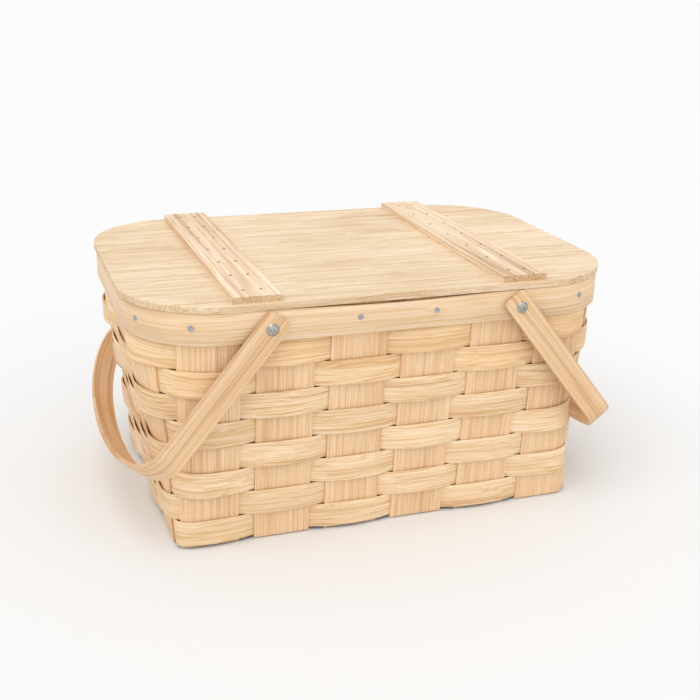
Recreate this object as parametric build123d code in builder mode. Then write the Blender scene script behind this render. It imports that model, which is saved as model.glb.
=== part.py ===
"""Splint-woven picnic basket with a hinged board lid and two swing handles, in millimetres.

+X runs along the basket's length, +Y towards the hinged back, +Z up. The origin is on the
surface that the basket stands on, under the middle of the basket.
"""
from build123d import *
from math import asin, atan, cos, pi, radians, sin, sqrt
import os

# Wall: the middle of the uprights' thickness, a rounded rectangle that widens upwards
RIM_TOP = 235.0
FOOT_HALF_LENGTH = 203.5
FOOT_HALF_DEPTH = 138.5
FOOT_CORNER = 8.0
TOP_HALF_LENGTH = 232.1
TOP_HALF_DEPTH = 157.65
TOP_CORNER = 80.0

# Splints
UPRIGHT_WIDTH = 54.0
UPRIGHT_THICKNESS = 1.5
LONG_PITCH = 69.0
LONG_COUNT = 6
CROSS_PITCH = 68.0
CROSS_COUNT = 4
WEAVER_THICKNESS = 1.5
WEAVER_ROWS = 8
ROW_GAP = 0.4
WEAVE_CLEARANCE = 0.25
BULGE_LOW = 5.0
BULGE_HIGH = 3.2
DIP = 2.3
WAVE_SHARES = (-0.5, -0.25, 0.0, 0.25, 0.5)
CORNER_SHARES = (-0.5, -0.46, -0.42, -0.34, -0.25, 0.0, 0.25, 0.34, 0.42, 0.46, 0.5)

# Floor of the basket: two layers of the same splints, woven through each other
FLOOR_CLEARANCE = 0.15
FLOOR_TO_WEAVERS = 0.4

# Rim hoops
HOOP_HEIGHT = 30.0
HOOP_THICKNESS = 5.0
LINING_HEIGHT = 28.0
LINING_THICKNESS = 4.5
HOOP_CLEARANCE = 0.1
UPRIGHT_TOP_DROP = 2.0

# Lid and battens
LID_END_OVERHANG = 2.05
LID_SIDE_OVERHANG = 0.5
LID_CORNER = 88.0
LID_THICKNESS = 6.35
LID_REST_GAP = 0.2
BATTEN_WIDTH = 44.5
BATTEN_THICKNESS = 6.35
BATTEN_INSET = 4.0
BATTEN_CENTRES = {"left": -131.0, "right": 126.0}
NAIL_ROWS = 2
NAIL_ROW_PITCH = 16.0
NAIL_COUNT = 7
NAIL_PITCH = 47.0
NAIL_HEAD_RADIUS = 1.3
NAIL_HEAD_THICKNESS = 0.3
NAIL_SHANK_RADIUS = 0.7
NAIL_LENGTH = 11.0

# Handles: a flat strip bent into a hoop that turns on two bolts
HANDLE_REACH = 197.0
HANDLE_RIM_GAP = 1.5
HANDLE_CROWN = 52.0
HANDLE_WIDTH = 24.0
HANDLE_THICKNESS = 4.8
HANDLE_END = 13.0
HANDLE_END_ROUND = 5.0
HANDLE_DROOP = 51.0
PIVOT_PAST_UPRIGHT = 16.5
PIVOT_DROP = 16.0
BOLT_RADIUS = 2.5
BOLT_RUNNING_CLEARANCE = 0.06
BOLT_HEAD_RADIUS = 5.8
BOLT_HEAD_HEIGHT = 2.6
BOLT_HEAD_GAP = 0.15
BOLT_PAST_LINING = 5.0
SLOT_WIDTH = 1.1
SLOT_LENGTH = 5.0
SLOT_DEPTH = 0.8
SPACER_RADIUS = 6.5
SPACER_GAP = 0.15
NUT_ACROSS_RADIUS = 4.6
NUT_THICKNESS = 3.2
NUT_GAP = 0.35

# Rim tacks
TACK_DROP = 13.0
TACK_HEAD_RADIUS = 2.5
TACK_HEAD_THICKNESS = 0.7
TACK_SHANK_RADIUS = 0.9
TACK_PROUD = 0.06
TACKS_LONG = (-186.0, -37.0, 37.0, 186.0)
TACKS_END = (-112.0, -36.0, 36.0, 112.0)

# Hinges
HINGE_CENTRES = {"left": -72.0, "right": 72.0}
HINGE_WIDTH = 30.0
LEAF_THICKNESS = 1.1
BARREL_RADIUS = 3.0
PIN_RADIUS = 1.2
PIN_CLEARANCE = 0.05
PIN_HEAD_RADIUS = 2.0
PIN_HEAD_THICKNESS = 0.8
BARREL_GAP = 0.2
KNUCKLE_MIDDLE = 11.6
HINGE_PAST_LID = 7.0
LID_LEAF_RISE = 0.1
LID_LEAF_LENGTH = 34.0
LID_LEAF_NECK_LENGTH = 6.0
LID_LEAF_WIDTH = 28.0
MORTISE_CLEARANCE = 0.05
RIM_LEAF_LENGTH = 24.0
SCREW_RADIUS = 1.25
SCREW_HEAD_RADIUS = 2.5
SCREW_HEAD_THICKNESS = 0.9
LID_SCREW_PLACES = (4.5, 13.5)
LID_SCREW_LENGTH = 5.0
RIM_SCREWS_X = (-8.0, 8.0)
RIM_SCREW_LENGTH = 7.0
RIM_SCREW_DROP = 16.0

HALF_UPRIGHT = UPRIGHT_THICKNESS / 2
HALF_WEAVER = WEAVER_THICKNESS / 2
EDGE_OFFSET = HALF_UPRIGHT + HALF_WEAVER + WEAVE_CLEARANCE
HOOP_INSIDE = HALF_UPRIGHT + HOOP_CLEARANCE
HOOP_OUTSIDE = HOOP_INSIDE + HOOP_THICKNESS
LINING_INSIDE = HOOP_INSIDE + LINING_THICKNESS
HOOP_FOOT = RIM_TOP - HOOP_HEIGHT
FLOOR_STEP = UPRIGHT_THICKNESS + FLOOR_CLEARANCE
FLOOR_MIDDLE = HALF_UPRIGHT + FLOOR_STEP / 2
FLOOR_TOP = FLOOR_MIDDLE + FLOOR_STEP / 2 + HALF_UPRIGHT
WEAVE_FOOT = FLOOR_TOP + FLOOR_TO_WEAVERS
ROW_PITCH = (HOOP_FOOT - ROW_GAP - WEAVE_FOOT) / WEAVER_ROWS
LID_LENGTH = 2 * (TOP_HALF_LENGTH + HOOP_OUTSIDE + LID_END_OVERHANG)
LID_DEPTH = 2 * (TOP_HALF_DEPTH + HOOP_OUTSIDE + LID_SIDE_OVERHANG)
LID_UNDERSIDE = RIM_TOP + LID_REST_GAP
LID_TOP = LID_UNDERSIDE + LID_THICKNESS
HANDLE_HALF_SPAN = TOP_HALF_DEPTH + HOOP_OUTSIDE + HANDLE_RIM_GAP + HANDLE_THICKNESS / 2
PIVOT_HALF_SPACING = 1.5 * LONG_PITCH + PIVOT_PAST_UPRIGHT
PIVOT_HEIGHT = RIM_TOP - PIVOT_DROP
HINGE_AXIS_Y = LID_DEPTH / 2 + HINGE_PAST_LID
LID_LEAF_FRONT = LID_DEPTH / 2 - LID_LEAF_LENGTH
LID_LEAF_NECK = LID_DEPTH / 2 - LID_LEAF_NECK_LENGTH
LEAF_TOP = RIM_TOP + LID_LEAF_RISE + LEAF_THICKNESS
HINGE_AXIS_Z = LEAF_TOP - BARREL_RADIUS
REACH_BEYOND = 1000.0

os.makedirs("parts", exist_ok=True)


def spread(count, pitch):
    """Evenly spaced places about zero."""
    return [(i - (count - 1) / 2) * pitch for i in range(count)]


LONG_PLACES = spread(LONG_COUNT, LONG_PITCH)
CROSS_PLACES = spread(CROSS_COUNT, CROSS_PITCH)


def write(piece, name):
    """Labels a finished piece and writes it under its own name."""
    piece.part.label = name
    export_step(piece.part, f"parts/{name}.step")


def wall_size(z):
    """Half length, half depth and corner radius of the wall at height z."""
    share = z / RIM_TOP
    return (
        FOOT_HALF_LENGTH + (TOP_HALF_LENGTH - FOOT_HALF_LENGTH) * share,
        FOOT_HALF_DEPTH + (TOP_HALF_DEPTH - FOOT_HALF_DEPTH) * share,
        FOOT_CORNER + (TOP_CORNER - FOOT_CORNER) * share,
    )


def wall_outline(z, outwards):
    """Rounded rectangle of the wall at height z, moved outwards."""
    half_length, half_depth, corner = wall_size(z)
    with BuildSketch(Plane.XY.offset(z)) as sketch:
        RectangleRounded(2 * (half_length + outwards), 2 * (half_depth + outwards), corner + outwards)
    return sketch.sketch


def wall_band(z_low, z_high, inside, outside):
    """Ring of wall between two heights and two offsets from the wall's middle."""
    with BuildPart() as band:
        loft([wall_outline(z_low, outside), wall_outline(z_high, outside)], ruled=True)
        loft([wall_outline(z_low, inside), wall_outline(z_high, inside)], ruled=True, mode=Mode.SUBTRACT)
    return band.part


def turn_to_side(side, along, out):
    """Local (along, outwards) of a side to x and y. Sides run front, right end, back, left end."""
    return [(along, -out), (out, along), (-along, out), (-out, -along)][side]


def side_size(side, z):
    """Half width of a side, its distance from the middle, and the corner radius, at height z."""
    half_length, half_depth, corner = wall_size(z)
    if side % 2 == 0:
        return half_length, half_depth, corner
    return half_depth, half_length, corner


def corner_angle(side, along, z):
    """How far round the corner, in radians, a place along a side lies."""
    half_width, _, corner = side_size(side, z)
    past = abs(along) - (half_width - corner)
    return asin(min(1.0, past / corner)) if past > 0 else 0.0


def wall_point(side, along, z, offset, angle=None):
    """Point of the wall at a place along a side, moved outwards, as x and y."""
    half_width, distance, corner = side_size(side, z)
    turn = corner_angle(side, along, z) if angle is None else angle
    sign = 1 if along >= 0 else -1
    if turn > 0:
        along = sign * (half_width - corner + corner * sin(turn))
    out = distance - corner + corner * cos(turn)
    return turn_to_side(side, along + sign * offset * sin(turn), out + offset * cos(turn))


def wall_slope(side, along, z):
    """Outward unit normal of the wall, which leans outwards as it rises."""
    low = Vector(*wall_point(side, along, z - 1, 0), z - 1)
    high = Vector(*wall_point(side, along, z + 1, 0), z + 1)
    flat = Vector(*wall_point(side, along, z, 1), z) - Vector(*wall_point(side, along, z, 0), z)
    lean = (high - low).dot(flat) / 2
    return (flat - Vector(0, 0, lean)).normalized()


def weaver_face(row, z, bulge, outwards):
    """Filled face inside one surface of a weaver: over one upright, behind the next, all round."""
    points = []
    crossing = 0
    for side in range(4):
        places, next_places = (LONG_PLACES, CROSS_PLACES) if side % 2 == 0 else (CROSS_PLACES, LONG_PLACES)
        for along in places:
            sign = 1 if (row + crossing) % 2 == 0 else -1
            middle = bulge if sign > 0 else DIP
            for share in CORNER_SHARES if along in (places[0], places[-1]) else WAVE_SHARES:
                offset = EDGE_OFFSET + (middle - EDGE_OFFSET) * cos(pi * share)
                points.append(wall_point(side, along + share * UPRIGHT_WIDTH, z, sign * offset + outwards))
            crossing += 1
        leave = corner_angle(side, places[-1] + UPRIGHT_WIDTH / 2, z)
        arrive = radians(90) - corner_angle(side + 1, next_places[-1] + UPRIGHT_WIDTH / 2, z)
        points.append(wall_point(side, places[-1], z, outwards, angle=(leave + arrive) / 2))
    with BuildSketch(Plane.XY.offset(z)) as sketch:
        with BuildLine():
            Polyline(*points, close=True)
        make_face()
    return sketch.sketch


def fastener(place, direction, radius, length, head_radius, head_thickness):
    """Round headed nail or screw: its head stands on the place, its shank runs in."""
    seat = Plane(origin=place, z_dir=direction)
    with BuildPart() as piece:
        with BuildSketch(seat):
            Circle(head_radius)
        extrude(amount=head_thickness)
        with BuildSketch(seat):
            Circle(radius)
        extrude(amount=-length)
    return piece.part


def shank(place, direction, radius, length):
    """The hole that a fastener's shank runs in."""
    with BuildPart() as hole:
        with BuildSketch(Plane(origin=place, z_dir=direction)):
            Circle(radius)
        extrude(amount=length, both=True)
    return hole.part


# Where the rim tacks and the handle bolts go through the rim
tack_seats = []
for side in range(4):
    for along in TACKS_LONG if side % 2 == 0 else TACKS_END:
        height = RIM_TOP - TACK_DROP
        normal = wall_slope(side, along, height)
        start = Vector(*wall_point(side, along, height, 0), height)
        reach_out = (HOOP_OUTSIDE + TACK_PROUD) / sqrt(1 - normal.Z**2) * (1 - normal.Z**2)
        tack_seats.append((start + normal * reach_out, normal))
TACK_LENGTH = HOOP_OUTSIDE + LINING_INSIDE

with BuildPart() as tack_holes:
    for place, normal in tack_seats:
        add(shank(place, normal, TACK_SHANK_RADIUS, TACK_LENGTH))

bolt_places = [(x, y_sign) for x in (-PIVOT_HALF_SPACING, PIVOT_HALF_SPACING) for y_sign in (-1, 1)]
with BuildPart() as bolt_holes:
    for x in (-PIVOT_HALF_SPACING, PIVOT_HALF_SPACING):
        with BuildSketch(Plane.XZ.offset(-REACH_BEYOND / 2)):
            with Locations((x, PIVOT_HEIGHT)):
                Circle(BOLT_RADIUS)
        extrude(amount=REACH_BEYOND)

# Hinge leaf on the rim: its seat follows the lean of the hoop's back
def hoop_back(z):
    """Y of the rim hoop's outer face at the back, at height z."""
    return wall_size(z)[1] + HOOP_OUTSIDE


lean = atan((hoop_back(RIM_TOP) - hoop_back(HOOP_FOOT)) / HOOP_HEIGHT)
rim_leaf_screw_height = RIM_TOP - RIM_SCREW_DROP
rim_screw_direction = Vector(0, cos(lean), -sin(lean))
rim_screw_seats = [
    Vector(centre + x, hoop_back(rim_leaf_screw_height) + HOOP_CLEARANCE + LEAF_THICKNESS / cos(lean), rim_leaf_screw_height)
    for centre in HINGE_CENTRES.values()
    for x in RIM_SCREWS_X
]
with BuildPart() as rim_screw_holes:
    for place in rim_screw_seats:
        add(shank(place, rim_screw_direction, SCREW_RADIUS, RIM_SCREW_LENGTH))

# Rim hoops
with BuildPart() as rim_hoop:
    add(wall_band(HOOP_FOOT, RIM_TOP, HOOP_INSIDE, HOOP_OUTSIDE))
    add(tack_holes.part, mode=Mode.SUBTRACT)
    add(bolt_holes.part, mode=Mode.SUBTRACT)
    add(rim_screw_holes.part, mode=Mode.SUBTRACT)
write(rim_hoop, "rim_hoop")

with BuildPart() as rim_lining:
    add(wall_band(RIM_TOP - LINING_HEIGHT, RIM_TOP, -LINING_INSIDE, -HOOP_INSIDE))
    add(tack_holes.part, mode=Mode.SUBTRACT)
    add(bolt_holes.part, mode=Mode.SUBTRACT)
write(rim_lining, "rim_lining")

# Uprights: each runs up one wall, down the other and through the woven floor
upright_wall = wall_band(FLOOR_MIDDLE - HALF_UPRIGHT, RIM_TOP - UPRIGHT_TOP_DROP, -HALF_UPRIGHT, HALF_UPRIGHT)


def floor_levels(index, crossings, half_reach, sign):
    """Middle line of a floor splint: under one crossing splint, over the next."""
    line = [(-half_reach, FLOOR_MIDDLE)]
    for number, place in enumerate(crossings):
        level = FLOOR_MIDDLE + sign * (-1) ** (index + number) * FLOOR_STEP / 2
        line += [(place - UPRIGHT_WIDTH / 2, level), (place + UPRIGHT_WIDTH / 2, level)]
    line.append((half_reach, FLOOR_MIDDLE))
    return line


def upright(name, index, place, across_x, crossings, half_reach, sign):
    """One upright with its stretch of floor, cut from the wall between its two edges."""
    middle_line = floor_levels(index, crossings, half_reach, sign)
    plane = Plane.YZ if across_x else Plane.XZ
    with BuildPart() as piece:
        with Locations((place, 0, 0) if across_x else (0, place, 0)):
            Box(
                UPRIGHT_WIDTH if across_x else REACH_BEYOND,
                REACH_BEYOND if across_x else UPRIGHT_WIDTH,
                REACH_BEYOND,
            )
        add(upright_wall, mode=Mode.INTERSECT)
        keep = piece.part.solids()
    walls = [s for s in keep if abs(s.center().Y if across_x else s.center().X) > half_reach / 2]
    seat = plane.offset((place if across_x else -place) - UPRIGHT_WIDTH / 2)
    with BuildPart() as whole:
        with BuildSketch(seat):
            with BuildLine():
                lower = Polyline(*[(a, b - HALF_UPRIGHT) for a, b in middle_line])
                upper = Polyline(*[(a, b + HALF_UPRIGHT) for a, b in middle_line])
                Line(lower @ 0, upper @ 0)
                Line(lower @ 1, upper @ 1)
            make_face()
        extrude(amount=UPRIGHT_WIDTH)
        add(walls)
        add(tack_holes.part, mode=Mode.SUBTRACT)
        add(bolt_holes.part, mode=Mode.SUBTRACT)
        add(rim_screw_holes.part, mode=Mode.SUBTRACT)
    write(whole, name)


for index, place in enumerate(LONG_PLACES):
    upright(f"long_upright_{index + 1}", index, place, True, CROSS_PLACES, FOOT_HALF_DEPTH, 1)
for index, place in enumerate(CROSS_PLACES):
    upright(f"cross_upright_{index + 1}", index, place, False, LONG_PLACES, FOOT_HALF_LENGTH, -1)

# Weavers, numbered from the top row down
for row in range(1, WEAVER_ROWS + 1):
    z_high = HOOP_FOOT - ROW_GAP - (row - 1) * ROW_PITCH
    z_low = z_high - ROW_PITCH + ROW_GAP
    with BuildPart() as weaver:
        for outwards, mode in ((HALF_WEAVER, Mode.ADD), (-HALF_WEAVER, Mode.SUBTRACT)):
            low = weaver_face(row, z_low, BULGE_LOW, outwards)
            high = weaver_face(row, z_high, BULGE_HIGH, outwards)
            loft([low, high], ruled=True, mode=mode)
    write(weaver, f"weaver_row_{row}")

with BuildPart() as rim_tacks:
    for place, normal in tack_seats:
        add(fastener(place, normal, TACK_SHANK_RADIUS, TACK_LENGTH, TACK_HEAD_RADIUS, TACK_HEAD_THICKNESS))
write(rim_tacks, "rim_tacks")

# Lid board and its battens, with the nails that join them
nail_seats = [
    Vector(centre + across, along, LID_TOP + BATTEN_THICKNESS)
    for centre in BATTEN_CENTRES.values()
    for across in spread(NAIL_ROWS, NAIL_ROW_PITCH)
    for along in spread(NAIL_COUNT, NAIL_PITCH)
]
with BuildPart() as nail_holes:
    for place in nail_seats:
        add(shank(place, Vector(0, 0, 1), NAIL_SHANK_RADIUS, NAIL_LENGTH))

lid_screw_seats = [
    Vector(centre, LID_LEAF_FRONT + y, RIM_TOP + LID_LEAF_RISE)
    for centre in HINGE_CENTRES.values()
    for y in LID_SCREW_PLACES
]
with BuildPart() as lid_screw_holes:
    for place in lid_screw_seats:
        add(shank(place, Vector(0, 0, -1), SCREW_RADIUS, LID_SCREW_LENGTH))

with BuildPart() as lid_board:
    with BuildSketch(Plane.XY.offset(LID_UNDERSIDE)):
        RectangleRounded(LID_LENGTH, LID_DEPTH, LID_CORNER)
    extrude(amount=LID_THICKNESS)
    fillet(lid_board.edges().group_by(Axis.Z)[-1], 0.8)
    with BuildSketch(Plane.XY.offset(LEAF_TOP + MORTISE_CLEARANCE)):
        mortise_middle = (LID_DEPTH / 2 + LID_LEAF_FRONT) / 2
        for centre in HINGE_CENTRES.values():
            with Locations((centre, mortise_middle)):
                Rectangle(LID_LEAF_WIDTH + 2 * MORTISE_CLEARANCE, LID_DEPTH / 2 - LID_LEAF_FRONT + 2 * MORTISE_CLEARANCE)
    extrude(amount=-LID_THICKNESS, mode=Mode.SUBTRACT)
    add(nail_holes.part, mode=Mode.SUBTRACT)
    add(lid_screw_holes.part, mode=Mode.SUBTRACT)
write(lid_board, "lid_board")

for side_name, centre in BATTEN_CENTRES.items():
    with BuildPart() as batten:
        with BuildSketch(Plane.XY.offset(LID_TOP)):
            with Locations((centre, 0)):
                Rectangle(BATTEN_WIDTH, LID_DEPTH - 2 * BATTEN_INSET)
        extrude(amount=BATTEN_THICKNESS)
        fillet(batten.edges().group_by(Axis.Z)[-1], 0.6)
        add(nail_holes.part, mode=Mode.SUBTRACT)
    write(batten, f"{side_name}_batten")

with BuildPart() as batten_nails:
    for place in nail_seats:
        add(fastener(place, Vector(0, 0, 1), NAIL_SHANK_RADIUS, NAIL_LENGTH, NAIL_HEAD_RADIUS, NAIL_HEAD_THICKNESS))
write(batten_nails, "batten_nails")

# Swing handles, drawn flat in the plane that holds both legs, then as thick as the strip is wide
for side_name, sign in (("left", -1), ("right", 1)):
    leg = Vector(sign * cos(radians(HANDLE_DROOP)), 0, -sin(radians(HANDLE_DROOP)))
    seat = Plane(origin=(sign * PIVOT_HALF_SPACING, 0, PIVOT_HEIGHT), x_dir=leg, z_dir=leg.cross(Vector(0, 1, 0)))
    shoulder = HANDLE_REACH - HANDLE_CROWN
    with BuildPart() as handle:
        with BuildSketch(seat):
            for grow, mode in ((HANDLE_THICKNESS / 2, Mode.ADD), (-HANDLE_THICKNESS / 2, Mode.SUBTRACT)):
                half_span = HANDLE_HALF_SPAN + grow
                with BuildLine():
                    near = Line((-HANDLE_END, -half_span), (shoulder, -half_span))
                    far = Line((-HANDLE_END, half_span), (shoulder, half_span))
                    EllipticalCenterArc((shoulder, 0), HANDLE_CROWN + grow, half_span, start_angle=-90, arc_size=180)
                    Line(near @ 0, far @ 0)
                make_face(mode=mode)
        extrude(amount=HANDLE_WIDTH / 2, both=True)
        corners = handle.edges().filter_by(Axis.Y).group_by(lambda e: round((e.center() - seat.origin).dot(leg), 3))[0]
        fillet(corners, HANDLE_END_ROUND)
        with BuildSketch(Plane.XZ.offset(-REACH_BEYOND / 2)):
            with Locations((sign * PIVOT_HALF_SPACING, PIVOT_HEIGHT)):
                Circle(BOLT_RADIUS + BOLT_RUNNING_CLEARANCE)
        extrude(amount=REACH_BEYOND, mode=Mode.SUBTRACT)
    write(handle, f"{side_name}_handle")

# Handle bolts, their nuts inside the rim, and the spacers that fill the lean of the hoop
HANDLE_OUTER = HANDLE_HALF_SPAN + HANDLE_THICKNESS / 2
HANDLE_INNER = HANDLE_HALF_SPAN - HANDLE_THICKNESS / 2
lining_face = wall_size(PIVOT_HEIGHT)[1] - LINING_INSIDE
bolt_length = HANDLE_OUTER + BOLT_HEAD_GAP - lining_face + BOLT_PAST_LINING
with BuildPart() as handle_bolts:
    for x, y_sign in bolt_places:
        head = Plane(origin=(x, y_sign * (HANDLE_OUTER + BOLT_HEAD_GAP), PIVOT_HEIGHT), z_dir=(0, y_sign, 0))
        dome_radius = (BOLT_HEAD_RADIUS**2 + BOLT_HEAD_HEIGHT**2) / (2 * BOLT_HEAD_HEIGHT)
        with BuildSketch(Plane(origin=head.origin, x_dir=(1, 0, 0), z_dir=(0, 0, y_sign))):
            with BuildLine():
                tip = (0, BOLT_HEAD_HEIGHT)
                rise = sqrt(dome_radius**2 - (BOLT_HEAD_RADIUS / 2) ** 2) - dome_radius + BOLT_HEAD_HEIGHT
                ThreePointArc(tip, (BOLT_HEAD_RADIUS / 2, rise), (BOLT_HEAD_RADIUS, 0))
                Polyline((BOLT_HEAD_RADIUS, 0), (BOLT_RADIUS, 0), (BOLT_RADIUS, -bolt_length), (0, -bolt_length), tip)
            make_face()
        revolve(axis=Axis(head.origin, head.z_dir))
        with BuildSketch(head.offset(BOLT_HEAD_HEIGHT)):
            Rectangle(SLOT_LENGTH, SLOT_WIDTH)
        extrude(amount=-SLOT_DEPTH, mode=Mode.SUBTRACT)
write(handle_bolts, "handle_bolts")

nut_start = lining_face - NUT_GAP
with BuildPart() as handle_nuts:
    for x, y_sign in bolt_places:
        with BuildSketch(Plane(origin=(x, y_sign * nut_start, PIVOT_HEIGHT), z_dir=(0, -y_sign, 0))):
            RegularPolygon(NUT_ACROSS_RADIUS, 6)
            Circle(BOLT_RADIUS, mode=Mode.SUBTRACT)
        extrude(amount=NUT_THICKNESS)
write(handle_nuts, "handle_nuts")

with BuildPart() as handle_spacers:
    for x, y_sign in bolt_places:
        with BuildSketch(Plane(origin=(x, y_sign * (HANDLE_INNER - SPACER_GAP), PIVOT_HEIGHT), z_dir=(0, -y_sign, 0))):
            Circle(SPACER_RADIUS)
            Circle(BOLT_RADIUS, mode=Mode.SUBTRACT)
        extrude(amount=HOOP_THICKNESS)
    add(wall_band(HOOP_FOOT, RIM_TOP, -LINING_INSIDE, HOOP_OUTSIDE), mode=Mode.SUBTRACT)
write(handle_spacers, "handle_spacers")

# Hinges
outer_knuckle = (HINGE_WIDTH - KNUCKLE_MIDDLE) / 2 - BARREL_GAP
knuckle_shift = (KNUCKLE_MIDDLE + outer_knuckle) / 2 + BARREL_GAP
crank_top = HINGE_AXIS_Z - BARREL_RADIUS + LEAF_THICKNESS
crank_foot = crank_top - LEAF_THICKNESS
rim_leaf_foot = crank_top - RIM_LEAF_LENGTH
for side_name, centre in HINGE_CENTRES.items():
    with BuildPart() as rim_leaf:
        with BuildSketch(Plane.YZ.offset(centre - HINGE_WIDTH / 2)):
            seat_foot = hoop_back(rim_leaf_foot) + HOOP_CLEARANCE
            seat_head = hoop_back(crank_top) + HOOP_CLEARANCE
            with BuildLine():
                Polyline(
                    (seat_foot, rim_leaf_foot),
                    (seat_foot + LEAF_THICKNESS, rim_leaf_foot),
                    (hoop_back(crank_foot) + HOOP_CLEARANCE + LEAF_THICKNESS, crank_foot),
                    (HINGE_AXIS_Y, crank_foot),
                    (HINGE_AXIS_Y, crank_top),
                    (seat_head, crank_top),
                    close=True,
                )
            make_face()
        extrude(amount=HINGE_WIDTH)
        with Locations((centre, HINGE_AXIS_Y, crank_top)):
            Box(
                KNUCKLE_MIDDLE + 2 * BARREL_GAP,
                2 * (HINGE_AXIS_Y - seat_head - LEAF_THICKNESS),
                4 * LEAF_THICKNESS,
                mode=Mode.SUBTRACT,
            )
        for shift in (-knuckle_shift, knuckle_shift):
            with BuildSketch(Plane.YZ.offset(centre + shift - outer_knuckle / 2)):
                with Locations((HINGE_AXIS_Y, HINGE_AXIS_Z)):
                    Circle(BARREL_RADIUS)
            extrude(amount=outer_knuckle)
        with BuildSketch(Plane.YZ.offset(centre - HINGE_WIDTH)):
            with Locations((HINGE_AXIS_Y, HINGE_AXIS_Z)):
                Circle(PIN_RADIUS + PIN_CLEARANCE)
        extrude(amount=2 * HINGE_WIDTH, mode=Mode.SUBTRACT)
        add(rim_screw_holes.part, mode=Mode.SUBTRACT)
    write(rim_leaf, f"{side_name}_hinge_rim_leaf")

    with BuildPart() as lid_leaf:
        leaf_foot = RIM_TOP + LID_LEAF_RISE
        with BuildSketch(Plane.XY.offset(leaf_foot)):
            with Locations((centre, (LID_LEAF_FRONT + LID_LEAF_NECK) / 2)):
                Rectangle(LID_LEAF_WIDTH, LID_LEAF_NECK - LID_LEAF_FRONT)
            with Locations((centre, (LID_LEAF_NECK + HINGE_AXIS_Y) / 2)):
                Rectangle(KNUCKLE_MIDDLE, HINGE_AXIS_Y - LID_LEAF_NECK)
        extrude(amount=LEAF_THICKNESS)
        with BuildSketch(Plane.YZ.offset(centre - KNUCKLE_MIDDLE / 2)):
            with Locations((HINGE_AXIS_Y, HINGE_AXIS_Z)):
                Circle(BARREL_RADIUS)
        extrude(amount=KNUCKLE_MIDDLE)
        with BuildSketch(Plane.YZ.offset(centre - HINGE_WIDTH)):
            with Locations((HINGE_AXIS_Y, HINGE_AXIS_Z)):
                Circle(PIN_RADIUS + PIN_CLEARANCE)
        extrude(amount=2 * HINGE_WIDTH, mode=Mode.SUBTRACT)
        add(lid_screw_holes.part, mode=Mode.SUBTRACT)
    write(lid_leaf, f"{side_name}_hinge_lid_leaf")

with BuildPart() as hinge_pins:
    for centre in HINGE_CENTRES.values():
        with BuildSketch(Plane.YZ.offset(centre - HINGE_WIDTH / 2)):
            with Locations((HINGE_AXIS_Y, HINGE_AXIS_Z)):
                Circle(PIN_RADIUS)
        extrude(amount=HINGE_WIDTH)
        for end in (centre - HINGE_WIDTH / 2 - PIN_HEAD_THICKNESS, centre + HINGE_WIDTH / 2):
            with BuildSketch(Plane.YZ.offset(end)):
                with Locations((HINGE_AXIS_Y, HINGE_AXIS_Z)):
                    Circle(PIN_HEAD_RADIUS)
            extrude(amount=PIN_HEAD_THICKNESS)
write(hinge_pins, "hinge_pins")

with BuildPart() as rim_screws:
    for place in rim_screw_seats:
        add(fastener(place, rim_screw_direction, SCREW_RADIUS, RIM_SCREW_LENGTH, SCREW_HEAD_RADIUS, SCREW_HEAD_THICKNESS))
write(rim_screws, "hinge_rim_screws")

with BuildPart() as lid_screws:
    for place in lid_screw_seats:
        add(fastener(place, Vector(0, 0, -1), SCREW_RADIUS, LID_SCREW_LENGTH, SCREW_HEAD_RADIUS, SCREW_HEAD_THICKNESS))
write(lid_screws, "hinge_lid_screws")
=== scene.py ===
"""Looks of the splint-woven picnic basket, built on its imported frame. Lengths are in metres."""

import random
from math import asin, cos, exp, pi, radians, sin

import bpy
from mathutils import Matrix, Vector


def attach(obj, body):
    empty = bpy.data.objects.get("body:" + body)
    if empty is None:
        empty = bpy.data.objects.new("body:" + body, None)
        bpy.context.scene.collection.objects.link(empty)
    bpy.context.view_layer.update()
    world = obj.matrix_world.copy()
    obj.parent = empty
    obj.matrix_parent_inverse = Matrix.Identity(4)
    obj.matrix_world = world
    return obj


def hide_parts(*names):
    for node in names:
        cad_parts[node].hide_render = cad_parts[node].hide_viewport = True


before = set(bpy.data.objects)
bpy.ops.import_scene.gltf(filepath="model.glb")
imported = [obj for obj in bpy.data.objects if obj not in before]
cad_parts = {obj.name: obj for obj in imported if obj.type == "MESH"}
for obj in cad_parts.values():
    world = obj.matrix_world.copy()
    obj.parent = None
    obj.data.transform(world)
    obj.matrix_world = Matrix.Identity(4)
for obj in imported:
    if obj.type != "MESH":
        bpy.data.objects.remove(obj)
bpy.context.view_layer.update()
MM = 0.001

# Wall of the basket, at the middle of the uprights' thickness: half length, half depth and corner radius
RIM_TOP = 235.0 * MM
FOOT = (203.5 * MM, 138.5 * MM, 8.0 * MM)
TOP = (232.1 * MM, 157.65 * MM, 80.0 * MM)
# How far the sprung end walls bow out, the share of the height where that starts, and how far the
# corners swell
BOW = 5.0 * MM
BOW_FOOT = 0.42
CORNER_SWELL = 12.0 * MM

# Uprights, which run down one wall, turn at its foot, cross the floor and run up the other wall. Long ones
# stand in the long walls, and cross ones in the end walls
SPLINT = 1.5 * MM
UPRIGHT_WIDTH = 54.0 * MM
UPRIGHT_TOP = 233.0 * MM
LONG_PITCH = 69.0 * MM
CROSS_PITCH = 66.0 * MM
LONG_PLACES = [(i - 2.5) * LONG_PITCH for i in range(6)]
CROSS_PLACES = [(i - 1.5) * CROSS_PITCH for i in range(4)]
WALL_STEPS = 24
WALL_FOOT = 4.0 * MM
FOOT_TURN = [3.0 * MM, 2.2 * MM]
FLOOR_MIDDLE = 1.575 * MM
FLOOR_RISE = 1.65 * MM
FLOOR_STEPS = 48
WIDTH_STEPS = 8

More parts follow.
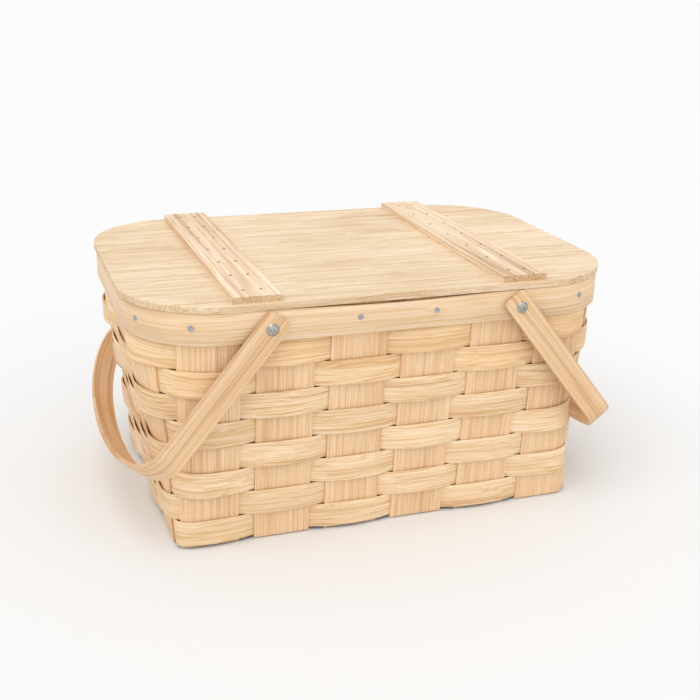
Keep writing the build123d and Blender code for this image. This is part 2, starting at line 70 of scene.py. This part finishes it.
# Weavers, numbered from the top. Offsets are from the uprights' middle: at an upright's edge, bulged over
# it at the weaver's low and high edge, and dipped behind it. Each crossing's lift and narrowing are chosen
# from a range in millimetres, and the narrowing is shared between the low and the high edge
WEAVER_ROWS = 8
# The highest weavers are coloured warmer and a little darker than the rest
WARM_ROWS = 2
ROW_GAP = 0.1 * MM
ROW_FOOT = 3.55 * MM
ROWS_TOP = 204.6 * MM
EDGE_OFFSET = 1.75 * MM
BULGE_LOW = 5.0 * MM
BULGE_HIGH = 3.2 * MM
DIP = 2.3 * MM
CROSSINGS = 2 * (len(LONG_PLACES) + len(CROSS_PLACES))
# Stations of the mesh over an upright, between two uprights, round a corner and up a weaver's width
CROSSING_STEPS = 10
GAP_STEPS = (0.33, 0.67)
CORNER_STEPS = (0.25, 0.5, 0.75)
WEAVER_HEIGHTS = (0.0, 0.12, 0.35, 0.6, 0.85, 1.0)
LIFT_RANGE = (-0.9, 0.5)
NARROWING_RANGE = (0.0, 0.4)
NARROWING_LOW = 0.5
NARROWING_HIGH = 0.7

# Rim bands, as offsets from the wall
HOOP_FOOT = 205.0 * MM
HOOP_INSIDE = 0.85 * MM
HOOP_OUTSIDE = 5.85 * MM
LINING_INSIDE = 5.35 * MM
LINING_FOOT = 207.0 * MM
RIM_EDGE = 0.6 * MM
RIM_SAG = 3.0 * MM
SAG_REACH = 85.0 * MM
SIDE_STEPS = 12
BEND_STEPS = 12

# How far below level the handles hang at rest, which their grain follows
HANDLE_DROOP = radians(51.0)

# Worn edges of the splints, and the angle from which an edge is sharp
EDGE_BEVEL = 0.35 * MM
BEVEL_STEPS = 2
SHARP_ANGLE = radians(50)

# Shifts of the grain from one piece's seed to the next, and where each kind's seeds start
SHEET_SHIFT = Vector((3.71, 1.37))
HOOP_SHIFT = Vector((2.3, 0.7))
WEAVER_SEED = 10
CROSS_SEED = 40
LONG_SEED = 50
# Point of each line where the grain's way along a ring is measured
WEAVER_GAUGE = 2
HOOP_GAUGE = 2

# Layers of the wood's grain: scale along the grain, scale across it, and detail
WANDER = (7.0, 22.0, 2.0)
FINE = (8.0, 820.0, 3.0)
MEDIUM = (4.0, 300.0, 3.0)
BROAD = (2.5, 70.0, 2.0)
PATCH = (5.0, 9.0, 2.0)
DASH = (90.0, 2400.0, 1.0)
SCAR = (48.0, 620.0, 2.0)
SCAR_PLACE = (3.0, 5.0, 7.0)
SWAY = 0.012
# Where a layer's noise starts and ends to count
FLECK_SPAN = (0.62, 0.74)
SCAR_SPAN = (0.66, 0.74)
STREAK_SPAN = (0.38, 0.56)
ROUGH_SPAN = (0.3, 0.7)
# Figure of the wood: the layers' shares, and the places of its dark, middle, pale and palest colours
MEDIUM_SHARE = 0.6
BROAD_SHARE = 0.4
FIGURE_STOPS = (0.34, 0.47, 0.56, 0.70)
PALEST = 1.04
STREAK_DARK = 0.24
STREAK_PALE = 0.03
FLECK_SHADE = 0.45
SCAR_AMOUNT = 1.4
SCAR_COLOUR = (0.55, 0.30, 0.12)
PATCH_TINTS = [(0.3, (0.86, 0.80, 0.72)), (0.5, (0.98, 0.97, 0.95)), (0.7, (1.0, 1.0, 1.0))]
PATCH_AMOUNT = 0.8
SAWN_SCALE = (900.0, 900.0, 900.0)
SAWN_DETAIL = 2.0
SAWN_TINTS = [(0.35, (0.55, 0.42, 0.30)), (0.6, (0.88, 0.78, 0.66))]
ROUGHER, SMOOTHER = 0.1, 0.06
FINE_RELIEF = 0.7
WOOD_RELIEF = (0.5, 0.35 * MM)
WOOD_IOR = 1.45
WOOD_SPECULAR = 0.35

# Plated metal: its duller patches, its fine scratches and its relief as strength and distance
PLATING_SCALE = 420.0
PLATING_DETAIL = 3.0
PLATING_STOPS = (0.35, 0.6)
WORN_SHADE = 0.62
DULL_SHADE = 0.8
DULL_ROUGHER = 0.2
SCRATCH_SCALE = (2600.0, 900.0, 2600.0)
SCRATCH_DETAIL = 2.0
METAL_RELIEF = (0.35, 0.2 * MM)

# Studio and camera
FLOOR_HALF = 30.0
FLOOR_COLOUR = (0.79, 0.795, 0.80, 1)
FLOOR_ROUGHNESS = 0.9
FLOOR_SPECULAR = 0.1
SKY_STRENGTH = 0.88
LAMP_COLOUR = (1.0, 0.99, 0.97)
# Each light's name, the place it shines from, its strength and its spread in degrees
LIGHTS = (("key", (-0.9, -0.8, 2.0), 1.08, 50.0), ("fill", (0.6, -2.0, 1.0), 0.40, 70.0))
CAMERA_PLACE = (-0.3603, -1.0407, 0.5300)
CAMERA_YAW, CAMERA_PITCH, CAMERA_ROLL = radians(19.66), radians(-19.98), radians(1.37)
CAMERA_LENS = 56.9
CAMERA_SENSOR = 36
CAMERA_RANGE = 100


def wall_size(z):
    """Half length, half depth and corner radius of the wall at height z."""
    share = z / RIM_TOP
    length, depth, corner = (low + (high - low) * share for low, high in zip(FOOT, TOP))
    if BOW_FOOT < share < 1:
        length += BOW * sin(pi * (share - BOW_FOOT) / (1 - BOW_FOOT))
    if 0 < share < 1:
        corner += CORNER_SWELL * sin(pi * share)
    return length, depth, corner


def side_size(side, z):
    """Half width of a side, its distance from the middle, and the corner radius, at height z."""
    half_length, half_depth, corner = wall_size(z)
    if side % 2 == 0:
        return half_length, half_depth, corner
    return half_depth, half_length, corner


def corner_angle(side, along, z):
    """How far round the corner, in radians, a place along a side lies."""
    half_width, _, corner = side_size(side, z)
    past = abs(along) - (half_width - corner)
    return asin(min(1.0, past / corner)) if past > 0 else 0.0


def wall_point(side, along, z, offset, angle=None):
    """Point of the wall at a place along a side, moved outwards. Sides run front, right, back, left."""
    half_width, distance, corner = side_size(side, z)
    turn = corner_angle(side, along, z) if angle is None else angle
    sign = 1 if along >= 0 else -1
    if turn > 0:
        along = sign * (half_width - corner + corner * sin(turn))
    out = distance - corner + corner * cos(turn) + offset * cos(turn)
    along += sign * offset * sin(turn)
    x, y = [(along, -out), (out, along), (-along, out), (-out, -along)][side]
    return Vector((x, y, z))


def smooth_step(share):
    """Eased share from 0 to 1."""
    return share * share * (3 - 2 * share)


def with_travel(lines, gauge):
    """Rows of (point, (u, v)) from lines of (point, v). u is the way along the piece at one of the points."""
    rows = []
    travelled = 0.0
    for number, line in enumerate(lines):
        if number:
            travelled += (line[gauge][0] - lines[number - 1][gauge][0]).length
        rows.append([(point, (travelled, v)) for point, v in line])
    return rows


def grid_piece(name, rows, ring, tube, shift, material):
    """Smooth mesh over rows of (point, (u, v)).

    A ring's last row has the points of its first, and each row of a tube ends at the point it starts from.
    """
    long = len(rows) - 1 if ring else len(rows)
    wide = len(rows[0]) - 1 if tube else len(rows[0])
    points = [point for row in rows[:long] for point, _ in row[:wide]]
    faces = []
    grain = []
    for i in range(len(rows) - 1):
        for k in range(len(rows[0]) - 1):
            quad = ((i, k), (i + 1, k), (i + 1, k + 1), (i, k + 1))
            faces.append([row % long * wide + column % wide for row, column in quad])
            grain += [Vector(rows[row][column][1]) + shift for row, column in quad]
    mesh = bpy.data.meshes.new(name)
    mesh.from_pydata(points, [], faces)
    layer = mesh.uv_layers.new(name="grain")
    for loop, place in enumerate(grain):
        layer.data[loop].uv = place
    mesh.shade_smooth()
    mesh.materials.append(material)
    piece = bpy.data.objects.new(name, mesh)
    bpy.context.scene.collection.objects.link(piece)
    return piece


def splint(name, rows, ring, body, node, material, seed):
    """Flat strip of splint through rows of (point, (u, v)), with its thickness and worn edges."""
    piece = grid_piece(name, rows, ring, False, seed * SHEET_SHIFT, material)
    solid = piece.modifiers.new("thickness", "SOLIDIFY")
    solid.thickness = SPLINT
    solid.offset = 0
    solid.use_even_offset = True
    bevel = piece.modifiers.new("worn_edges", "BEVEL")
    bevel.width = EDGE_BEVEL
    bevel.segments = BEVEL_STEPS
    bevel.limit_method = "ANGLE"
    bevel.angle_limit = SHARP_ANGLE
    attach(piece, body)
    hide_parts(node)


class Shader:
    """Small helper that adds nodes to one material and links them."""

    def __init__(self, name):
        self.material = bpy.data.materials.new(name)
        self.material.use_nodes = True
        self.tree = self.material.node_tree
        self.tree.nodes.clear()
        self.surface = self.add("ShaderNodeBsdfPrincipled")
        output = self.add("ShaderNodeOutputMaterial")
        self.tree.links.new(self.surface.outputs[0], output.inputs[0])

    def add(self, kind, inputs=None, **settings):
        """Adds a node. Inputs are constants, or sockets to link from."""
        node = self.tree.nodes.new(kind)
        for key, value in settings.items():
            setattr(node, key, value)
        for key, value in (inputs or {}).items():
            if isinstance(value, bpy.types.NodeSocket):
                self.tree.links.new(value, node.inputs[key])
            else:
                node.inputs[key].default_value = value
        return node

    def stretched(self, source, scale, shift=(0, 0, 0)):
        """Coordinates scaled by a different amount each way."""
        inputs = {0: source, 1: scale, 2: shift}
        return self.add("ShaderNodeVectorMath", inputs, operation="MULTIPLY_ADD").outputs[0]

    def noise(self, vector, scale, detail):
        """Noise value at these coordinates."""
        values = {"Vector": vector, "Scale": scale, "Detail": detail}
        return self.add("ShaderNodeTexNoise", values).outputs[0]

    def ramp(self, value, stops):
        """Colour ramp through (position, colour) stops."""
        stops = list(stops)
        node = self.add("ShaderNodeValToRGB", {0: value})
        ramp = node.color_ramp
        while len(ramp.elements) < len(stops):
            ramp.elements.new(0.5)
        for element, (position, colour) in zip(ramp.elements, stops):
            element.position = position
            element.color = (*colour, 1)
        return node.outputs[0]

    def remap(self, value, low, high, to_low, to_high):
        """Value moved from one range to another, clamped."""
        values = {0: value, 1: low, 2: high, 3: to_low, 4: to_high}
        return self.add("ShaderNodeMapRange", values).outputs[0]

    def math(self, operation, a, b=0.0):
        """Sum, product and the like of two values."""
        return self.add("ShaderNodeMath", {0: a, 1: b}, operation=operation).outputs[0]

    def blend(self, factor, a, b, mode="MIX"):
        """Two colours mixed by a factor."""
        return self.add("ShaderNodeMixRGB", {0: factor, 1: a, 2: b}, blend_type=mode).outputs[0]

    def bump(self, height, strength, distance):
        """Relief of the surface from a height."""
        values = {"Height": height, "Strength": strength, "Distance": distance}
        self.tree.links.new(self.add("ShaderNodeBump", values).outputs[0], self.surface.inputs["Normal"])


def shade(colour, amount):
    """Colour made lighter or darker by a factor."""
    return tuple(min(1.0, c * amount) for c in colour)


def wood(name, coordinates, along, pale, mid, dark, streak, fleck, rough, figure, fineness,
         turn=0.0, cut=None):
    """Bare wood with fine streaks, broad figure and small flecks.

    The grain runs along the axes named in along, of the grain map or of the object turned about Y. A cut is
    the axis that faces out of the sawn faces, where its normal starts and ends to count, and an amount.
    """
    s = Shader(name)
    if coordinates == "uv":
        flat = s.add("ShaderNodeUVMap", uv_map="grain").outputs[0]
    else:
        flat = s.add("ShaderNodeTexCoord").outputs["Object"]
    if turn:
        flat = s.add("ShaderNodeMapping", {"Vector": flat, "Rotation": (0, turn, 0)}).outputs[0]

    def grain(source, layer, shift=(0, 0, 0)):
        length, across, detail = layer
        scale = tuple(length if axis in along else across * fineness for axis in "xyz")
        return s.noise(s.stretched(source, scale, shift), 1.0, detail)

    wander = grain(flat, WANDER)
    diagonal = s.add("ShaderNodeCombineXYZ", {0: wander, 1: wander, 2: wander}).outputs[0]
    sway = s.add("ShaderNodeVectorMath", {0: diagonal, "Scale": SWAY * figure}, operation="SCALE").outputs[0]
    bent = s.add("ShaderNodeVectorMath", {0: flat, 1: sway}, operation="ADD").outputs[0]
    fine = grain(bent, FINE)
    medium = grain(bent, MEDIUM)
    broad = grain(bent, BROAD)
    flecks = s.remap(grain(bent, DASH), *FLECK_SPAN, 0.0, fleck)
    scars = s.remap(grain(bent, SCAR, SCAR_PLACE), *SCAR_SPAN, 0.0, SCAR_AMOUNT * fleck)

    mixed = s.math("ADD", s.math("MULTIPLY", medium, MEDIUM_SHARE), s.math("MULTIPLY", broad, BROAD_SHARE))
    body = s.ramp(mixed, zip(FIGURE_STOPS, (dark, mid, pale, shade(pale, PALEST))))
    streaks = s.remap(fine, *STREAK_SPAN, 1.0 - STREAK_DARK * streak, 1.0 + STREAK_PALE * streak)
    channels = {0: s.math("SQRT", streaks), 1: streaks, 2: s.math("MULTIPLY", streaks, streaks)}
    body = s.blend(1.0, body, s.add("ShaderNodeCombineColor", channels).outputs[0], "MULTIPLY")
    body = s.blend(PATCH_AMOUNT, body, s.ramp(grain(flat, PATCH), PATCH_TINTS), "MULTIPLY")
    body = s.blend(flecks, body, (*shade(dark, FLECK_SHADE), 1))
    body = s.blend(scars, body, (*SCAR_COLOUR, 1))
    if cut:
        axis, start, end, amount = cut
        normal = s.add("ShaderNodeTexCoord").outputs["Normal"]
        outward = s.math("ABSOLUTE", s.add("ShaderNodeSeparateXYZ", {0: normal}).outputs[axis])
        facing = s.remap(outward, start, end, 0.0, amount)
        sawn = s.ramp(s.noise(s.stretched(flat, SAWN_SCALE), 1.0, SAWN_DETAIL), SAWN_TINTS)
        body = s.blend(facing, body, s.blend(1.0, body, sawn, "MULTIPLY"))
    s.tree.links.new(body, s.surface.inputs["Base Color"])
    roughness = s.remap(medium, *ROUGH_SPAN, rough + ROUGHER, rough - SMOOTHER)
    s.tree.links.new(roughness, s.surface.inputs["Roughness"])
    height = s.math("SUBTRACT", s.math("ADD", s.math("MULTIPLY", fine, FINE_RELIEF), medium), flecks)
    s.bump(height, *WOOD_RELIEF)
    s.surface.inputs["IOR"].default_value = WOOD_IOR
    s.surface.inputs["Specular IOR Level"].default_value = WOOD_SPECULAR
    return s.material


def metal(name, colour, rough, dull=0.35):
    """Worn plated metal: patches of duller plating, fine scratches and small dents."""
    s = Shader(name)
    place = s.add("ShaderNodeTexCoord").outputs["Object"]
    patches = s.noise(place, PLATING_SCALE, PLATING_DETAIL)
    scratches = s.noise(s.stretched(place, SCRATCH_SCALE), 1.0, SCRATCH_DETAIL)
    tone = s.ramp(patches, zip(PLATING_STOPS, (shade(colour, WORN_SHADE), colour)))
    s.tree.links.new(s.blend(dull, tone, (*shade(colour, DULL_SHADE), 1)), s.surface.inputs["Base Color"])
    roughness = s.remap(patches, *ROUGH_SPAN, rough + DULL_ROUGHER, rough)
    s.tree.links.new(roughness, s.surface.inputs["Roughness"])
    s.surface.inputs["Metallic"].default_value = 1.0
    s.bump(s.math("ADD", scratches, patches), *METAL_RELIEF)
    return s.material


weaver_wood = wood(
    "weaver_wood", "uv", "x", pale=(0.90, 0.70, 0.49), mid=(0.85, 0.63, 0.41), dark=(0.69, 0.45, 0.25),
    streak=1.1, fleck=0.2, rough=0.5, figure=1.1, fineness=1.6)
warm_weaver_wood = wood(
    "warm_weaver_wood", "uv", "x", pale=(0.90, 0.67, 0.42), mid=(0.84, 0.58, 0.34), dark=(0.67, 0.42, 0.21),
    streak=1.0, fleck=0.2, rough=0.5, figure=1.1, fineness=1.6)
upright_wood = wood(
    "upright_wood", "uv", "x", pale=(0.88, 0.65, 0.43), mid=(0.84, 0.59, 0.37), dark=(0.75, 0.50, 0.29),
    streak=1.1, fleck=0.2, rough=0.55, figure=0.2, fineness=2.6)
rim_wood = wood(
    "rim_wood", "uv", "x", pale=(0.86, 0.66, 0.46), mid=(0.81, 0.60, 0.40), dark=(0.72, 0.50, 0.31),
    streak=0.8, fleck=0.15, rough=0.5, figure=0.4, fineness=1.7)
lid_wood = wood(
    "lid_wood", "object", "x", pale=(0.85, 0.71, 0.54), mid=(0.81, 0.65, 0.46), dark=(0.68, 0.49, 0.31),
    streak=0.9, fleck=0.45, rough=0.5, figure=1.2, fineness=1.15, cut=("Z", 0.6, 0.2, 0.35))
batten_wood = wood(
    "batten_wood", "object", "y", pale=(0.88, 0.72, 0.56), mid=(0.82, 0.64, 0.47), dark=(0.60, 0.41, 0.27),
    streak=1.1, fleck=0.35, rough=0.5, figure=0.4, fineness=1.2, cut=("Y", 0.5, 0.9, 0.8))
left_handle_wood, right_handle_wood = (
    wood(
        side + "_handle_wood", "object", "xy",
        pale=(0.82, 0.59, 0.38), mid=(0.75, 0.51, 0.31), dark=(0.60, 0.38, 0.21),
        streak=1.0, fleck=0.25, rough=0.48, figure=0.3, fineness=1.9, turn=turn)
    for side, turn in (("left", HANDLE_DROOP), ("right", -HANDLE_DROOP))
)
nail_metal = metal("nail_metal", (0.50, 0.52, 0.56), 0.38)
brad_metal = metal("brad_metal", (0.30, 0.27, 0.25), 0.4)
bolt_metal = metal("bolt_metal", (0.50, 0.48, 0.44), 0.2, 0.2)
hinge_metal = metal("hinge_metal", (0.58, 0.55, 0.50), 0.35)


def ring_stations():
    """Stations of a weaver's round, from the back: (side, along, corner, crossing, share across the upright).

    A station between two sides has a corner: the first upright of the next side, and how far round it is.
    """
    stations = []
    crossing = 0
    for side in range(4):
        places, following = (LONG_PLACES, CROSS_PLACES) if side % 2 == 0 else (CROSS_PLACES, LONG_PLACES)
        for number, place in enumerate(places):
            for step in range(CROSSING_STEPS + 1):
                share = step / CROSSING_STEPS - 0.5
                stations.append((side, place + share * UPRIGHT_WIDTH, None, crossing, share))
            if number < len(places) - 1:
                edge = place + UPRIGHT_WIDTH / 2
                free = places[number + 1] - place - UPRIGHT_WIDTH
                for step in GAP_STEPS:
                    stations.append((side, edge + step * free, None, crossing, 0.5 + step))
            crossing += 1
        for step in CORNER_STEPS:
            stations.append((side, places[-1], (following[-1], step), crossing - 1, 0.5 + step))
    first_back = next(number for number, station in enumerate(stations) if station[0] == 2)
    return stations[first_back:] + stations[:first_back]


def weave_offset(row, crossing, share, bulge, lift):
    """How far outside the uprights' middle a weaver lies."""
    sign = 1 if (row + crossing) % 2 == 0 else -1
    if share <= 0.5:
        middle = bulge + lift if sign > 0 else DIP
        return sign * (EDGE_OFFSET + (middle - EDGE_OFFSET) * cos(pi * share))
    return sign * EDGE_OFFSET * (1 - 2 * smooth_step(share - 0.5))


def corner_turn(side, along, corner, z):
    """Angle of a station between the last upright of a side and the first of the next one."""
    following, share = corner
    leave = corner_angle(side, along + UPRIGHT_WIDTH / 2, z)
    arrive = pi / 2 - corner_angle(side + 1, following + UPRIGHT_WIDTH / 2, z)
    return leave + (arrive - leave) * share


def build_weavers():
    """Eight rings of flat splint, each bulging over one upright and dipping behind the next."""
    stations = ring_stations()
    pitch = (ROWS_TOP - ROW_FOOT + ROW_GAP) / WEAVER_ROWS
    for row in range(1, WEAVER_ROWS + 1):
        rng = random.Random(row)
        high = ROWS_TOP - (row - 1) * pitch
        low = high - pitch + ROW_GAP
        lifts = [rng.uniform(*LIFT_RANGE) * MM for _ in range(CROSSINGS)]
        narrowings = [rng.uniform(*NARROWING_RANGE) * MM for _ in range(CROSSINGS)]
        lines = []
        for side, along, corner, crossing, share in stations:
            between = crossing + min(share, 1.0) + 0.5
            first, part = int(between) % CROSSINGS, smooth_step(between % 1.0)
            narrowing = narrowings[first] + (narrowings[(first + 1) % CROSSINGS] - narrowings[first]) * part
            line = []
            for fraction in WEAVER_HEIGHTS:
                z = low + (high - low) * fraction
                z += NARROWING_LOW * narrowing if fraction < 0.5 else -NARROWING_HIGH * narrowing
                bulge = BULGE_LOW + (BULGE_HIGH - BULGE_LOW) * fraction
                turn = corner_turn(side, along, corner, z) if corner else None
                offset = weave_offset(row, crossing, share, bulge, lifts[crossing] * (1 - fraction / 2))
                line.append((wall_point(side, along, z, offset, turn), fraction * (high - low)))
            lines.append(line)
        material = warm_weaver_wood if row <= WARM_ROWS else weaver_wood
        rows = with_travel(lines + lines[:1], WEAVER_GAUGE)
        name = f"weaver_splint_{row}"
        splint(name, rows, True, "basket", f"weaver_row_{row}", material, WEAVER_SEED + row)


def floor_height(index, position, crossings, sign):
    """Height of a floor splint's middle where it passes under one splint and over the next."""
    levels = [FLOOR_MIDDLE + sign * (-1) ** (index + n) * FLOOR_RISE / 2 for n in range(len(crossings))]
    for n, place in enumerate(crossings):
        if abs(position - place) <= UPRIGHT_WIDTH / 2:
            return levels[n]
        if position < place:
            if n == 0:
                return levels[0]
            start = crossings[n - 1] + UPRIGHT_WIDTH / 2
            end = place - UPRIGHT_WIDTH / 2
            share = smooth_step((position - start) / (end - start))
            return levels[n - 1] + (levels[n] - levels[n - 1]) * share
    return levels[-1]


def build_upright(kind, index, place):
    """One strip: down the first wall, across the floor and up the opposite wall."""
    is_long = kind == "long"
    crossings = CROSS_PLACES if is_long else LONG_PLACES
    first_side, last_side = (0, 2) if is_long else (3, 1)
    reach = FOOT[1] if is_long else FOOT[0]
    sign = 1 if is_long else -1
    widths = [(n / WIDTH_STEPS - 0.5) * UPRIGHT_WIDTH for n in range(WIDTH_STEPS + 1)]
    drop = UPRIGHT_TOP - WALL_FOOT
    heights = [UPRIGHT_TOP - n * drop / WALL_STEPS for n in range(WALL_STEPS + 1)] + FOOT_TURN

    def wall_line(side, z):
        facing = 1 if side < 2 else -1
        return [(wall_point(side, facing * (place + width), z, 0), width) for width in widths]

    lines = [wall_line(first_side, z) for z in heights]
    for step in range(1, FLOOR_STEPS):
        position = -reach + step * 2 * reach / FLOOR_STEPS
        z = floor_height(index, position, crossings, sign)
        line = []
        for width in widths:
            across = place + width
            line.append((Vector((across, position, z) if is_long else (position, across, z)), width))
        lines.append(line)
    lines += [wall_line(last_side, z) for z in reversed(heights)]
    rows = with_travel(lines, WIDTH_STEPS // 2)
    name = f"{kind}_upright_splint_{index + 1}"
    node = f"{kind}_upright_{index + 1}"
    seed = index + (LONG_SEED if is_long else CROSS_SEED)
    splint(name, rows, False, "basket", node, upright_wood, seed)


def band_profile(inside, outside, low, high):
    """Closed section of a rim band as (offset, height) points, with its four edges taken off."""
    middle = (low + high) / 2
    return [
        (outside - RIM_EDGE, low), (outside, low + RIM_EDGE), (outside, middle), (outside, high - RIM_EDGE),
        (outside - RIM_EDGE, high), (inside + RIM_EDGE, high), (inside, high - RIM_EDGE), (inside, middle),
        (inside, low + RIM_EDGE), (inside + RIM_EDGE, low), (outside - RIM_EDGE, low),
    ]


def build_hoop(name, node, inside, outside, foot, seed):
    """Rim hoop: a solid band round the wall, its top a little low in the middle of the front."""
    stations = []
    for side in (2, 3, 0, 1):
        half = side_size(side, RIM_TOP)[0] - TOP[2]
        stations += [(side, -half + step * 2 * half / SIDE_STEPS, None) for step in range(SIDE_STEPS + 1)]
        stations += [(side, half, pi / 2 * step / BEND_STEPS) for step in range(1, BEND_STEPS)]
    lines = []
    for side, along, turn in stations:
        dip = RIM_SAG * exp(-((along / SAG_REACH) ** 2)) if side == 0 and turn is None else 0.0
        line = []
        way = 0.0
        for offset, z in band_profile(inside, outside, foot, RIM_TOP - dip):
            point = wall_point(side, along, z, offset, turn)
            if line:
                way += (point - line[-1][0]).length
            line.append((point, way))
        lines.append(line)
    rows = with_travel(lines + lines[:1], HOOP_GAUGE)
    piece = grid_piece(name, rows, True, True, seed * HOOP_SHIFT, rim_wood)
    split = piece.modifiers.new("corners", "EDGE_SPLIT")
    split.split_angle = SHARP_ANGLE
    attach(piece, "basket")
    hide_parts(node)


def dress(material, *nodes):
    """Gives CAD nodes their finished material."""
    for node in nodes:
        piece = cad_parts[node]
        piece.data.materials.clear()
        piece.data.materials.append(material)


def build_studio():
    """Pale floor, a broad soft key light, a fill and white surroundings."""
    mesh = bpy.data.meshes.new("floor")
    corners = [(x * FLOOR_HALF, y * FLOOR_HALF, 0) for x, y in ((-1, -1), (1, -1), (1, 1), (-1, 1))]
    mesh.from_pydata(corners, [], [(0, 1, 2, 3)])
    floor = bpy.data.objects.new("floor", mesh)
    bpy.context.scene.collection.objects.link(floor)
    s = Shader("floor_paper")
    s.surface.inputs["Base Color"].default_value = FLOOR_COLOUR
    s.surface.inputs["Roughness"].default_value = FLOOR_ROUGHNESS
    s.surface.inputs["Specular IOR Level"].default_value = FLOOR_SPECULAR
    mesh.materials.append(s.material)
    world = bpy.data.worlds.new("studio")
    world.use_nodes = True
    background = world.node_tree.nodes["Background"]
    background.inputs[0].default_value = (1, 1, 1, 1)
    background.inputs[1].default_value = SKY_STRENGTH
    bpy.context.scene.world = world
    for name, place, strength, spread in LIGHTS:
        lamp = bpy.data.lights.new(name, "SUN")
        lamp.energy = strength
        lamp.angle = radians(spread)
        lamp.color = LAMP_COLOUR
        light = bpy.data.objects.new(name, lamp)
        light.location = place
        light.rotation_euler = (-Vector(place)).to_track_quat("-Z", "Y").to_euler()
        bpy.context.scene.collection.objects.link(light)


def build_camera():
    """Camera where the photograph was taken from."""
    ahead = cos(CAMERA_PITCH)
    forward = Vector((sin(CAMERA_YAW) * ahead, cos(CAMERA_YAW) * ahead, sin(CAMERA_PITCH)))
    level = Vector((cos(CAMERA_YAW), -sin(CAMERA_YAW), 0))
    upright = level.cross(forward)
    right = cos(CAMERA_ROLL) * level + sin(CAMERA_ROLL) * upright
    up = -sin(CAMERA_ROLL) * level + cos(CAMERA_ROLL) * upright
    data = bpy.data.cameras.new("camera")
    data.lens = CAMERA_LENS
    data.sensor_width = CAMERA_SENSOR
    data.clip_end = CAMERA_RANGE
    camera = bpy.data.objects.new("camera", data)
    turned = Matrix((right, up, -forward)).transposed().to_4x4()
    camera.matrix_world = Matrix.Translation(CAMERA_PLACE) @ turned
    bpy.context.scene.collection.objects.link(camera)
    bpy.context.scene.camera = camera


build_weavers()
for index, place in enumerate(LONG_PLACES):
    build_upright("long", index, place)
for index, place in enumerate(CROSS_PLACES):
    build_upright("cross", index, place)
build_hoop("rim_band", "rim_hoop", HOOP_INSIDE, HOOP_OUTSIDE, HOOP_FOOT, 1)
build_hoop("rim_inner_band", "rim_lining", -LINING_INSIDE, -HOOP_INSIDE, LINING_FOOT, 2)
dress(lid_wood, "lid_board")
dress(batten_wood, "left_batten", "right_batten")
dress(left_handle_wood, "left_handle")
dress(right_handle_wood, "right_handle")
dress(nail_metal, "rim_tacks", "hinge_rim_screws", "hinge_lid_screws")
dress(brad_metal, "batten_nails")
dress(bolt_metal, "handle_bolts", "handle_nuts", "handle_spacers")
dress(hinge_metal, "hinge_pins")
for side in ("left", "right"):
    dress(hinge_metal, side + "_hinge_rim_leaf", side + "_hinge_lid_leaf")
build_studio()
build_camera()
bpy.context.scene.view_settings.view_transform = "Standard"
